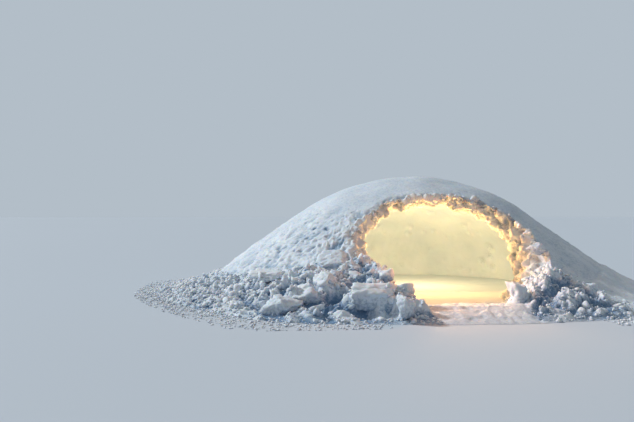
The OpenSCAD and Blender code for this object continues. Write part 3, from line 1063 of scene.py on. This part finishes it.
@dataclass(frozen=True)
class BrokenSnow:
    """The skirt, the heaps beside the mouth and the sill: one bank of broken snow, cut into stretches.

    A nook is an angle, a distance, a width and a depth. A seat is a level place for a block, with its width.
    A profile is made of pairs of an angle round the mound, or for the sill a distance, and a value.
    """

    mound: Mound
    relief: Relief
    chunks: Chunks
    back_r: float = 3.15
    back_rise: float = 0.45
    sill_back_r: float = 3.95
    plain_foot_r: float = 5.6
    width: float = 1.8
    film: float = 0.004
    bulge: float = 0.35
    cap: float = 0.95
    # Half the width of the passage, over which there is no flank, and where the bank's ends begin
    passage_half: float = 1.68
    front_y: float = -2.0
    # How the bank ends at the sill: how far aside it starts to rise and how steeply, on the right also how
    # far aside, how high and how steeply its upper slope runs, and how far and over what length both wander
    left_end: tuple[float, float] = (0.79, 0.95)
    right_end: tuple[float, float] = (0.60, 2.2)
    right_top: Vec = (0.72, 0.16, 0.88)
    end_wander: tuple[float, float] = (0.10, 0.45)
    # Inside the mouth the right end gives way: how fast, from where, and how far at most
    recess: Vec = (0.31, 4.4, 0.35)
    seat_level: float = 0.35
    seat_slope: float = 1.2
    seat_rim: float = 0.3
    # The sill fades in sideways and outward between these distances
    sill_side: tuple[float, float] = (1.9, 1.4)
    sill_front: tuple[float, float] = (5.75, 5.3)
    # Loose pieces stay within reach and off trodden snow. Those over large_from also keep off the nooks and,
    # by distances aside and in front, off the opening, as the blocks do by distances of their own.
    reach: float = 5.86
    trodden_most: float = 0.6
    dug_most: float = 0.07
    large_from: float = 0.1
    large_clear: tuple[float, float] = (1.08, 5.25)
    coarse_clear: tuple[float, float] = (1.38, 5.0)
    top: Profile = (
        (0, 0.50), (140, 0.50), (165, 0.34), (184, 0.24), (203, 0.27), (214, 0.30), (218, 0.36),
        (222, 0.38), (226, 0.42), (230, 0.52), (236, 0.64), (242, 0.70), (250, 0.78), (285, 0.80),
        (291, 0.74), (295, 0.60), (298, 0.44), (301, 0.33), (306, 0.32), (314, 0.42), (322, 0.50),
        (360, 0.50))
    foot: Profile = (
        (0, 5.50), (186, 5.50), (206, 5.56), (220, 5.72), (235, 5.98), (242, 5.95), (248, 5.80), (255, 5.65),
        (262, 5.60), (275, 5.60), (290, 5.58), (316, 5.50), (360, 5.50))
    coarse: Profile = ((0, 0.3), (206, 0.3), (216, 0.6), (230, 1.0), (262, 1.0), (278, 0.9), (291, 0.8),
                       (297, 0.6), (304, 0.35), (360, 0.3))
    broken: Profile = ((155, 0.0), (178, 0.5), (194, 1.0), (289, 1.0), (294, 0.9), (298, 0.40), (302, 0.12),
                       (308, 0.0))
    sill: Profile = ((4.0, 0.0), (4.3, 0.13), (4.8, 0.16), (5.3, 0.075), (5.62, 0.0), (5.8, -0.03))
    nooks: tuple[tuple[float, float, float, float], ...] = (
        (230.4, 5.42, 0.34, 0.20), (232.4, 5.16, 0.30, 0.20), (240.6, 5.32, 0.36, 0.26),
        (243.6, 4.98, 0.32, 0.22), (249.4, 5.40, 0.36, 0.30), (253.2, 5.34, 0.26, 0.20),
        (236.4, 4.72, 0.26, 0.16), (246.0, 4.62, 0.28, 0.18), (224.8, 5.05, 0.28, 0.14),
        (219.0, 4.90, 0.22, 0.10), (283.5, 4.80, 0.30, 0.20), (288.2, 4.58, 0.28, 0.18),
        (279.8, 5.02, 0.24, 0.14), (292.0, 4.80, 0.26, 0.16), (286.0, 5.20, 0.24, 0.12))
    seats: tuple[tuple[str, float], ...] = (
        ("block_low", 0.20), ("block_by_mouth", 0.20), ("block_under_slab", 0.26), ("boulder_left", 0.30),
        ("plate_on_heap", 0.46), ("slab_at_foot", 0.26), ("boulder_right", 0.20))
    sizes: tuple[Strewn, ...] = (
        Strewn(1.6, 0.24, 0.40, 22, 14, 0.02, 0.7, True),
        Strewn(14.0, 0.12, 0.26, 12, 7, -0.08, 0.9, True),
        Strewn(46.0, 0.07, 0.15, 8, 4, -0.12, 1.0),
        Strewn(170.0, 0.035, 0.08, 6, 3, -0.16, 1.15),
        Strewn(220.0, 0.018, 0.042, 5, 2, -0.2, 1.3),
        Strewn(110.0, 0.025, 0.08, 5, 2, 0.92, 1.38))

    def bank(self, points: Array) -> tuple[Array, Array, Array, Array]:
        """Where the bank starts and ends at the angle of each point, and how high and coarse it is.

        Args:
            points: Any points, (..., 3).

        Returns:
            Height of its top on the flank, distance of its top, distance of its foot, share of large blocks.
        """
        around = azimuth_deg(points)
        top, foot, coarse = (follow(around, profile) for profile in (self.top, self.foot, self.coarse))
        edge = ring_points(np.radians(around))
        broad, fine = self.relief.layers[:2]
        foot = foot + 0.09 * broad.waves(edge, 0.14) + 0.04 * fine.waves(edge, 0.05)
        return top, self.mound.outer_r(top), foot, coarse

    def crumbly(self, points: Array) -> Array:
        """How broken the bank is at each point: clods and crumbs in front, a smooth drift elsewhere."""
        return follow(azimuth_deg(points), self.broken)

    def dug(self, points: Array) -> Array:
        """Depth of the nooks between the blocks: the sum of depth exp(-(distance / half the width)^2)."""
        total = np.zeros(points.shape[:-1])
        for angle_deg, distance, width, depth in self.nooks:
            off = points[..., :2] - distance * outward(angle_deg)[:2]
            total += depth * np.exp(-(off**2).sum(-1) / (0.5 * width) ** 2)
        return total

    def ends(self, points: Array) -> Array:
        """Height of the slopes at which the bank sinks to the sill: a line on the left, two on the right.

        Args:
            points: Points of the ground, (..., 3).

        Returns:
            Heights; the slopes wander with the waves of the snow.
        """
        wander, length = self.end_wander
        x = points[..., 0] + wander * self.relief.layers[1].waves(points * [1.0, 1.0, 0.0], length)
        pace, start, most = self.recess
        right = x - np.clip(pace * (points[..., 1] + start), 0.0, most)
        low_x, low_slope = self.right_end
        top_x, top_z, top_slope = self.right_top
        lines = np.minimum(low_slope * (right - low_x), top_z + top_slope * (right - top_x))
        left_x, left_slope = self.left_end
        return np.where(x < 0, -left_slope * (x + left_x), lines)

    def plain(self, points: Array) -> Array:
        """Height of the bank without its unevenness, which may be below the ground.

        The bank is top (1 - k)(1 + bulge k), with k from 0 on the flank to 1 at its foot. The bulge is -1 in
        the smooth drifts, which so run out of the flank in a concave curve. Beside the mouth a slope cuts the
        bank down to the sill, under the larger blocks it rises as a seat, and the nooks are taken off.

        Args:
            points: Points of the ground, (..., 3).

        Returns:
            Heights.
        """
        top, start, foot, _ = self.bank(points)
        r = away(points)
        k = (r - start) / (foot - start)
        bulge = (1.0 + self.bulge) * self.crumbly(points) - 1.0
        bulge = np.where(k < 0.0, np.maximum(bulge, 0.0), bulge)
        bank = np.minimum(top * (1.0 - k) * (1.0 + bulge * k), self.cap)
        bank *= ramp(r, self.back_r, self.back_r + self.back_rise)
        end = self.ends(points)
        bank = np.where((points[..., 1] < self.front_y) & (bank > end), end, bank)
        for node, width in self.seats:
            low, high = (np.array(corner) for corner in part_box(node))
            off = np.linalg.norm(points[..., :2] - (low + high)[:2] / 2.0, axis=-1) - width / 2.0
            seat = ((1.0 - self.seat_level) * low + self.seat_level * high)[2]
            seat = seat - self.seat_slope * np.maximum(off, 0.0)
            bank = np.where(off < self.seat_rim, np.maximum(bank, seat), bank)
        return bank - self.dug(points)

    def height(self, points: Array) -> tuple[Array, Array, Array]:
        """Height of the broken snow's surface and its painted shade; the sill is a low ramp with trodden
        dents.

        Args:
            points: Points of the ground, (..., 3).

        Returns:
            Heights, which may be below the ground, painted shade, and how far the snow is trodden.
        """
        plain, coarse = self.plain(points), self.bank(points)[3]
        r = away(points)
        sill = follow(r, self.sill)
        trodden = ramp(sill - plain, -0.10, 0.08) * (points[..., 1] < self.front_y)
        trodden *= ramp(np.abs(points[..., 0]), *self.sill_side)
        at = np.stack([points[..., 0], points[..., 1], plain], -1)
        amount, hollow = self.relief.bed(at, coarse)
        crumbly = self.crumbly(points)
        fade = (0.15 + 0.85 * ramp(plain, -0.02, 0.26)) * (0.55 + 0.45 * coarse) * (0.15 + 0.85 * crumbly)
        a = self.relief.layers
        dents = -0.24 * a[4].lumps(at, 0.24, 0.05, 0.11, 0.7) + 0.008 * a[9].facets(at, 0.12)[0]
        smooth = 0.026 * a[2].waves(at, 0.40) + 0.005 * a[3].waves(at, 0.1) + dents
        rough = plain + amount * fade
        flat = sill + smooth * ramp(r, *self.sill_front)
        # Painted shade: darker in the gaps of the bed and in the nooks, and on the sill in the trodden dents
        hollow = 0.15 + (hollow + 4.0 * self.dug(points) - 0.15) * crumbly
        return rough + (flat - rough) * trodden, hollow + (0.35 - 4.0 * dents - hollow) * trodden, trodden

    def lie(self, points: Array) -> Array:
        """Height of what a loose piece lies on: the broken snow or the mound, whichever is higher."""
        r = away(points)
        in_mouth = (np.abs(points[..., 0]) < self.passage_half) & (points[..., 1] < 0)
        flank = np.where(in_mouth, 0.0, self.mound.outer_z(r))
        return np.maximum(np.maximum(self.height(points)[0], flank), 0.0)

    def slope(self, angle_deg: float, distance: float) -> float:
        """Slope of the plain bank or the mound at a place, from two heights a step apart."""
        step = 0.2
        r = np.array([distance - step / 2, distance + step / 2])
        high, low = np.maximum(self.plain(r[:, None] * outward(angle_deg)), self.mound.outer_z(r))
        return math.atan2(high - low, step)

    def bed(self, skin: Skin, part: Stretch) -> None:
        """The bed of a stretch: a grid of angle and distance over a flat underside.

        Args:
            skin: The piece's skin.
            part: The stretch; the sill starts farther out than the rest.
        """
        back_r = self.sill_back_r if part.node == "sill" else self.back_r
        rim = ring_points(grid_angles(part.from_deg, part.to_deg, max(part.arc / part.spacing, 2)))
        foot = self.bank(rim)[2]
        s = grid_line(1.0, 0.0, (self.plain_foot_r - back_r) / part.spacing)
        r = back_r + (foot[:, None] - back_r) * s
        points = rim[:, None, :] * r[..., None]
        points[..., 2], hollow, trodden = self.height(points)
        normals = grid_normals(points)
        points, hollow, trodden = (field[1:-1, 1:-1] for field in (points, hollow, trodden))
        normals[points[..., 2] < self.film] = [0.0, 0.0, 1.0]
        lift(points, self.film)
        points[:, [0, -1], 2] = 0.0
        skin.add(points, tube_faces(*points.shape[:2]), hollow, normals, trodden)

    def scatter(self, skin: Skin, part: Stretch) -> None:
        """Strews loose pieces over a stretch, from a few large blocks to many crumbs beyond the foot.

        Args:
            skin: The piece's skin.
            part: The stretch.
        """
        rng = np.random.default_rng(part.seed)
        area = part.arc * self.width
        for kind in self.sizes:
            n = round(kind.density * area * part.rich)
            place = ring_points(np.radians(rng.uniform(part.from_deg, part.to_deg, n)))
            _, start, foot, coarse = self.bank(place)
            k = rng.uniform(kind.first, kind.last, n)
            place *= (start + (foot - start) * k)[:, None]
            size = kind.small + (kind.large - kind.small) * rng.random(n) ** 2.0
            size *= (1.0 - 0.3 * np.clip(k, 0.0, 1.0)) * (0.55 + 0.45 * coarse if kind.coarse else 1.0)
            often = self.crumbly(place) * (coarse * ramp(coarse, 0.2, 0.6) if kind.coarse else 1.0)
            keep = (rng.random(n) < often) & self.may_lie(place, kind)
            place, size = place[keep], size[keep]
            sizes = size[:, None] * rng.uniform([0.9, 0.6, 0.4], [1.4, 1.0, 0.8], (len(size), 3))
            place[:, 2] = self.lie(place) + sizes[:, 2] * rng.uniform(-0.25, 0.25, len(size))
            tone = 0.45 * rng.random((len(size), 1)) ** 2 - 0.1
            self.chunks.add(skin, *self.chunks.make(rng, place, sizes, kind.around, kind.rings), tone=tone)

    def may_lie(self, place: Array, kind: Strewn) -> Array:
        """Where pieces may lie: off the trodden sill, and the larger ones clear of the mouth and the nooks.

        Args:
            place: Places on the ground, (n, 3).
            kind: Size of the pieces.

        Returns:
            True for each place where one may.
        """
        keep = (self.height(place)[2] < self.trodden_most) & (np.abs(place).max(1) < self.reach)
        away_from_mouth = np.stack([np.abs(place[:, 0]), -place[:, 1]], -1)
        if kind.coarse:
            keep &= (away_from_mouth > self.coarse_clear).any(1)
        if kind.large > self.large_from:
            keep &= (away_from_mouth > self.large_clear).any(1) & (self.dug(place) < self.dug_most)
        return keep

    def piece(self, part: Stretch) -> bpy.types.Object:
        """A stretch of broken snow with its loose pieces."""
        skin = Skin()
        self.bed(skin, part)
        self.scatter(skin, part)
        return skin.build(part.node)


@dataclass(frozen=True)
class LooseBlock:
    """A block that lies apart: its node, place, length across, depth and height, turn and seed.

    The values are those of the part's source, but the block by the mouth is 80 mm lower here.
    """

    node: str
    angle_deg: float
    distance: float
    size: Vec
    turn_deg: float
    seed: int
    shrink: float = 0.94
    around: int = 52
    rings: int = 32

    def build(self, broken: BrokenSnow) -> bpy.types.Object:
        """Makes the block: one fine chunk, leaned with the slope under it, as high up as its node.

        Args:
            broken: The broken snow that it lies on.

        Returns:
            The piece.
        """
        rng = np.random.default_rng(self.seed)
        low, high = (np.array(corner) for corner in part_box(self.node))
        size = self.shrink * np.array([self.size])
        shape, faces = broken.chunks.make(rng, np.zeros((1, 3)), size, self.around, self.rings, False)
        lean = broken.slope(self.angle_deg, self.distance)
        around, turn = math.radians(self.angle_deg), math.radians(90.0 + self.turn_deg)
        points = shape @ (spin_z(around) @ spin_y(lean) @ spin_z(turn)).T
        middle = (low + high) / 2.0
        middle[2] = high[2] - points[..., 2].max()
        skin = Skin()
        broken.chunks.add(skin, points + middle, faces, smooth=True)
        return skin.build(self.node)


def linear(hex_code: str) -> tuple[float, float, float, float]:
    """Linear colour of an sRGB hex code: c / 12.92 below 0.04045, else ((c + 0.055) / 1.055)^2.4."""
    values = [int(hex_code[k:k + 2], 16) / 255.0 for k in (0, 2, 4)]
    return (*(v / 12.92 if v <= 0.04045 else ((v + 0.055) / 1.055) ** 2.4 for v in values), 1.0)


def empty_tree(owner: bpy.types.Material | bpy.types.World) -> bpy.types.NodeTree:
    """Gives a material or a world a node tree without nodes."""
    owner.use_nodes = True
    owner.node_tree.nodes.clear()
    return owner.node_tree


def add_node(tree: bpy.types.NodeTree, kind: str, inputs: dict[Any, Any],
             **settings: Any) -> bpy.types.NodeOutputs:
    """Adds a node with its settings and links.

    Args:
        tree: The node tree.
        kind: The node's type name without "ShaderNode".
        inputs: Value or output socket for each input, by its name or number.
        settings: Properties of the node.

    Returns:
        The node's outputs.
    """
    node = tree.nodes.new("ShaderNode" + kind)
    for key, value in settings.items():
        setattr(node, key, value)
    for key, value in inputs.items():
        if isinstance(value, bpy.types.NodeSocket):
            tree.links.new(value, node.inputs[key])
        else:
            node.inputs[key].default_value = value
    return node.outputs


@dataclass(frozen=True)
class Look:
    """Colours of snow where it stands out, in broad darker drifts and under painted shade, and how rough it
    is.
    """

    crest: str
    shade: str
    # Colour of the painted shade in pits, gaps and under pieces, which random specks take too
    hollow: str
    roughness: float


@dataclass(frozen=True)
class SnowFinish:
    """Snow with a plain look and a second one, where the attribute "worn" says so.

    The grains of snow are 0.5 to 1 mm; they are drawn at grain_mm, so that they show at this distance. Light
    goes a little way into the snow, red the farthest, so that thin edges glow before the chamber's lamps.
    """

    slot: Slot
    plain: Look
    second: Look
    drift_mm: float = 900.0
    crust_mm: float = 42.0
    grain_mm: float = 10.0
    crust_depth_mm: float = 5.0
    grain_depth_mm: float = 2.0
    glow_share: float = 0.35
    glow_mm: float = 80.0
    glow_reach: Vec = (1.0, 0.62, 0.36)
    ice_ior: float = 1.31

    def build(self) -> bpy.types.Material:
        """Makes the material.

        Returns:
            The material, named for its slot.
        """
        material = bpy.data.materials.new(self.slot.value)
        tree = empty_tree(material)
        place = add_node(tree, "TexCoord", {})["Object"]
        # The first attribute read is painted shade, the second picks the second look
        depth, worn = (add_node(tree, "Attribute", {}, attribute_name=name)["Fac"]
                       for name in ("hollow", "worn"))
        noises = []
        for mm, detail, rough in (
                (self.drift_mm, 3.0, 0.5), (self.crust_mm, 3.0, 0.6), (self.grain_mm, 2.0, 0.7)):
            inputs = {"Vector": place, "Scale": 1000 / mm, "Detail": detail, "Roughness": rough}
            noises.append(add_node(tree, "TexNoise", inputs)["Fac"])
        drift, crust, grain = noises
        tone = add_node(tree, "MapRange", {"Value": drift, "From Min": 0.35,
                                           "From Max": 0.68})["Result"]
        speck = add_node(tree, "MapRange", {"Value": crust, "From Min": 0.4, "From Max": 0.7, "To Min": -0.15,
                                            "To Max": 0.25})["Result"]
        # Painted shade from the attribute, with random crust specks, mixes in each look's third colour
        deep = add_node(tree, "Math", {0: depth, 1: speck}, operation="ADD", use_clamp=True)[0]
        deep = add_node(tree, "MapRange", {"Value": deep, "From Min": 0.25})["Result"]
        colours = []
        for look in (self.plain, self.second):
            colour = linear(look.crest)
            for share, darker in ((tone, look.shade), (deep, look.hollow)):
                inputs = {"Factor": share, "A": colour, "B": linear(darker)}
                colour = add_node(tree, "Mix", inputs, data_type="RGBA")["Result"]
            colours.append(colour)
        colour = add_node(tree, "Mix", {"Factor": worn, "A": colours[0], "B": colours[1]}, data_type="RGBA")
        sheen = add_node(tree, "MapRange", {"Value": worn, "To Min": self.plain.roughness,
                                            "To Max": self.second.roughness})["Result"]
        rough = add_node(tree, "MapRange", {"Value": grain, "From Min": 0.3, "From Max": 0.7, "To Min": -0.1,
                                            "To Max": 0.1})["Result"]
        rough = add_node(tree, "Math", {0: sheen, 1: rough}, operation="ADD")[0]
        coarse = add_node(tree, "Bump", {"Height": crust, "Distance": self.crust_depth_mm / 1000,
                                         "Strength": 1.0})
        fine = add_node(tree, "Bump", {"Height": grain, "Distance": self.grain_depth_mm / 1000,
                                       "Strength": 1.0, "Normal": coarse["Normal"]})
        shader = add_node(tree, "BsdfPrincipled", {
            "Base Color": colour["Result"], "Roughness": rough, "Normal": fine["Normal"],
            "IOR": self.ice_ior, "Subsurface Weight": self.glow_share, "Subsurface Radius": self.glow_reach,
            "Subsurface Scale": self.glow_mm / 1000})
        add_node(tree, "OutputMaterial", {"Surface": shader["BSDF"]})
        return material


# The third colour of each look is painted shade
# Wind-packed snow: fine grains smoothed by the wind, so the skin looks soft and almost even.
WIND_PACKED = Look("DFE9F1", "CEDCE8", "8FAAC2", 0.72)
# Glazed snow: clods melted a little by warm air and frozen again, which gives them a faint gloss.
GLAZED = Look("DADFE0", "CAD4DA", "8A9FB1", 0.55)
# Broken snow: crumbs and lumps with fresh pale faces and deep gaps; the dark blue of the gaps is painted
# shade.
BROKEN = Look("E2EBF3", "CDDCE8", "6787A8", 0.74)
# Trodden snow: dense and a little greyer.
TRODDEN = Look("D6E0E8", "C6D4DF", "8FA7BC", 0.62)
FINISHES = (
    SnowFinish(Slot.WIND_PACKED, WIND_PACKED, WIND_PACKED), SnowFinish(Slot.MOUTH, WIND_PACKED, GLAZED),
    SnowFinish(Slot.BROKEN, BROKEN, TRODDEN), SnowFinish(Slot.TRODDEN, BROKEN, TRODDEN))


@dataclass(frozen=True)
class Studio:
    """Plain pale floor, soft daylight, warm lamps in the chamber and the camera.

    A glow lamp is its name, kind, place, colour and power.
    """

    floor_half: float = 500.0
    floor_z: float = -0.002
    floor_colour: str = "C4D0DB"
    backdrop: str = "B3BEC8"
    sky_colour: str = "F4F7FB"
    sky_strength: float = 0.33
    sun_strength: float = 2.65
    sun_deg: float = 7.0
    sun_place: Vec = (-0.75, 0.40, 0.53)
    glow_lamps: tuple[tuple[str, str, Vec, Vec, float], ...] = (
        ("glow_chamber", "POINT", (0.0, -0.2, 1.2), (1.0, 0.67, 0.30), 118.0),
        ("glow_mouth", "AREA", (0.0, -1.2, 0.95), (1.0, 0.44, 0.11), 80.0),
        ("glow_edge", "POINT", (-0.3, -4.25, 1.25), (1.0, 0.34, 0.08), 44.0))
    glow_facing: Vec = (0.0, -1.0, 0.12)
    round_lamp: float = 0.3
    panel: tuple[float, float] = (2.2, 0.6)
    camera_place: Vec = (-3.60, -15.22, 1.55)
    camera_look: tuple[float, float] = (0.0976, 0.9952)
    pitch_deg: float = 0.33
    focal_px: float = 700.0
    frame_px: int = 634
    sensor_mm: float = 36.0
    clip_end: float = 2000.0

    def floor(self) -> None:
        """The floor: a large square just under the ground level."""
        mesh = bpy.data.meshes.new("floor")
        corners = [(x * self.floor_half, y * self.floor_half, self.floor_z)
                   for x, y in ((-1, -1), (1, -1), (1, 1), (-1, 1))]
        mesh.from_pydata(corners, [], [(0, 1, 2, 3)])
        material = bpy.data.materials.new("pale_floor")
        tree = empty_tree(material)
        shader = add_node(tree, "BsdfPrincipled", {"Base Color": linear(self.floor_colour), "Roughness": 0.9})
        add_node(tree, "OutputMaterial", {"Surface": shader["BSDF"]})
        mesh.materials.append(material)
        link("floor", mesh)

    def sky(self) -> None:
        """Even light from all round; the camera, reflections and glass see the backdrop's colour instead."""
        world = bpy.data.worlds.new("studio")
        bpy.context.scene.world = world
        tree = empty_tree(world)
        light, seen = (add_node(tree, "Background", {"Color": linear(colour), "Strength": strength})[0]
                       for colour, strength in ((self.sky_colour, self.sky_strength), (self.backdrop, 1.0)))
        ray = add_node(tree, "LightPath", {})
        straight = ray["Is Camera Ray"]
        for kind in ("Is Glossy Ray", "Is Transmission Ray"):
            straight = add_node(tree, "Math", {0: straight, 1: ray[kind]}, operation="MAXIMUM")[0]
        both = add_node(tree, "MixShader", {0: straight, 1: light, 2: seen})
        add_node(tree, "OutputWorld", {"Surface": both[0]})

    def lamps(self) -> None:
        """A soft lamp from the upper left, a panel that faces the mouth, a round one behind and before it."""
        sun = bpy.data.lights.new("key", "SUN")
        sun.energy, sun.angle = self.sun_strength, math.radians(self.sun_deg)
        link("key", sun, facing=self.sun_place, axis="Z")
        for name, kind, place, colour, watts in self.glow_lamps:
            lamp = bpy.data.lights.new(name, kind)
            lamp.energy, lamp.color = watts, colour
            if kind == "POINT":
                lamp.shadow_soft_size = self.round_lamp
            else:
                lamp.shape = "RECTANGLE"
                lamp.size, lamp.size_y = self.panel
            link(name, lamp, place, self.glow_facing)

    def camera(self) -> None:
        """The camera, with a focal length and a frame width given in pixels."""
        data = bpy.data.cameras.new("camera")
        data.sensor_width = self.sensor_mm
        data.lens = self.sensor_mm * self.focal_px / self.frame_px
        data.clip_end = self.clip_end
        look = (*self.camera_look, math.tan(math.radians(self.pitch_deg)))
        bpy.context.scene.camera = link("camera", data, self.camera_place, look)

    def build(self) -> None:
        """Makes the floor, the lights and the camera, and sets the plain view transform."""
        self.floor()
        self.sky()
        self.lamps()
        self.camera()
        bpy.context.scene.view_settings.view_transform = "Standard"


# Sides of the mound, with the grid spacing of shell and skirt, and how thickly pieces lie on the skirt
SIDES = (("right_front", 0.030, 0.038, 0.8), ("right_back", 0.038, 0.038, 0.8),
         ("back_right", 0.038, 0.038, 0.8), ("back_left", 0.038, 0.038, 0.8),
         ("left_back", 0.038, 0.038, 0.8), ("left_front", 0.024, 0.026, 1.0))
SKIRT_SEED = 70
CROWN_SPACING = 0.03
# Angles of the front view between which the pieces of the front lie
FRONT = (("jamb_right", 0, 20), ("cheek_right", 20, 45), ("haunch_right", 45, 73), ("brow", 73, 107),
         ("haunch_left", 107, 135), ("cheek_left", 135, 160), ("jamb_left", 160, 180))
HEAPS = (
    Stretch("heap_left_outer", 61, 214.0, 237.0, 0.022, 1.0),
    Stretch("heap_left_inner", 62, 237.0, 261.0, 0.022, 1.0),
    Stretch("sill", 63, 261.0, 277.5, 0.024, 0.5),
    Stretch("heap_right_inner", 64, 277.5, 299.0, 0.024, 0.8),
    Stretch("heap_right_outer", 65, 299.0, 316.0, 0.026, 0.8))
BLOCKS = (
    LooseBlock("slab_on_flank", 235.0, 3.7, (0.52, 0.43, 0.26), 8.0, 11),
    LooseBlock("slab_leaning", 233.3, 4.29, (0.3, 0.24, 0.36), -35.0, 18),
    LooseBlock("block_under_slab", 239.4, 4.65, (0.42, 0.32, 0.36), -20.0, 12),
    LooseBlock("plate_on_heap", 219.8, 4.3, (0.62, 0.48, 0.2), 20.0, 19),
    LooseBlock("boulder_left", 237.4, 5.1, (0.54, 0.36, 0.3), 10.0, 20),
    LooseBlock("slab_at_foot", 235.6, 5.6, (0.43, 0.34, 0.26), -8.0, 22),
    LooseBlock("block_by_mouth", 250.2, 5.04, (0.64, 0.4, 0.25), 12.0, 13),
    LooseBlock("block_pointed", 255.8, 5.48, (0.24, 0.22, 0.33), 30.0, 14),
    LooseBlock("block_low", 255.3, 4.79, (0.25, 0.23, 0.2), -10.0, 15),
    LooseBlock("boulder_right", 279.1, 4.5, (0.27, 0.26, 0.33), 15.0, 16),
    LooseBlock("nub_on_shoulder", 297.4, 3.44, (0.3, 0.21, 0.17), -12.0, 17),
)


def fit(piece: bpy.types.Object, slot: Slot, materials: dict[Slot, bpy.types.Material]) -> None:
    """Dresses a piece, puts it on the body and lets it stand for its node, for which it is named.

    Args:
        piece: The piece.
        slot: Its finish.
        materials: The finishes' materials.
    """
    piece.data.materials.append(materials[slot])
    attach(piece, "root")
    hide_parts(piece.name.removeprefix(PREFIX))
    LOG.info("%s: %d points, %d faces", piece.name, len(piece.data.vertices), len(piece.data.polygons))


def skirt() -> Iterator[Stretch]:
    """The stretches of the bank from the last heap on the right, round the back, to the first on the left."""
    first, last = HEAPS[0].from_deg, HEAPS[-1].to_deg
    step = (360.0 + first - last) / len(SIDES)
    for index, (side, _, spacing, rich) in enumerate(SIDES):
        start = last - 360.0 + index * step
        yield Stretch("skirt_" + side, SKIRT_SEED + index, start, start + step, spacing, rich)


def main() -> None:
    """Builds the igloo and its surroundings."""
    logging.basicConfig(level=logging.INFO, format="%(name)s: %(message)s")
    materials = {finish.slot: finish.build() for finish in FINISHES}
    mound, relief = Mound(), Relief()
    ring = ShellRing(mound, relief)
    fit(ring.crown("crown", CROWN_SPACING), Slot.WIND_PACKED, materials)
    for index, (side, spacing, _, _) in enumerate(SIDES):
        for kind in ("wall", "vault"):
            piece = ring.segment(f"{kind}_{side}", kind == "wall", index, spacing)
            fit(piece, Slot.WIND_PACKED, materials)
    front = MouthFront(mound, Mouth(), relief)
    chunks = Chunks(relief)
    for node, from_deg, to_deg in FRONT:
        fit(front.piece(node, from_deg, to_deg, chunks), Slot.MOUTH, materials)
    broken = BrokenSnow(mound, relief, chunks)
    for part in (*HEAPS, *skirt()):
        fit(broken.piece(part), Slot.TRODDEN if part.node == "sill" else Slot.BROKEN, materials)
    for block in BLOCKS:
        fit(block.build(broken), Slot.BROKEN, materials)
    Studio().build()


if __name__ == "__main__":
    main()
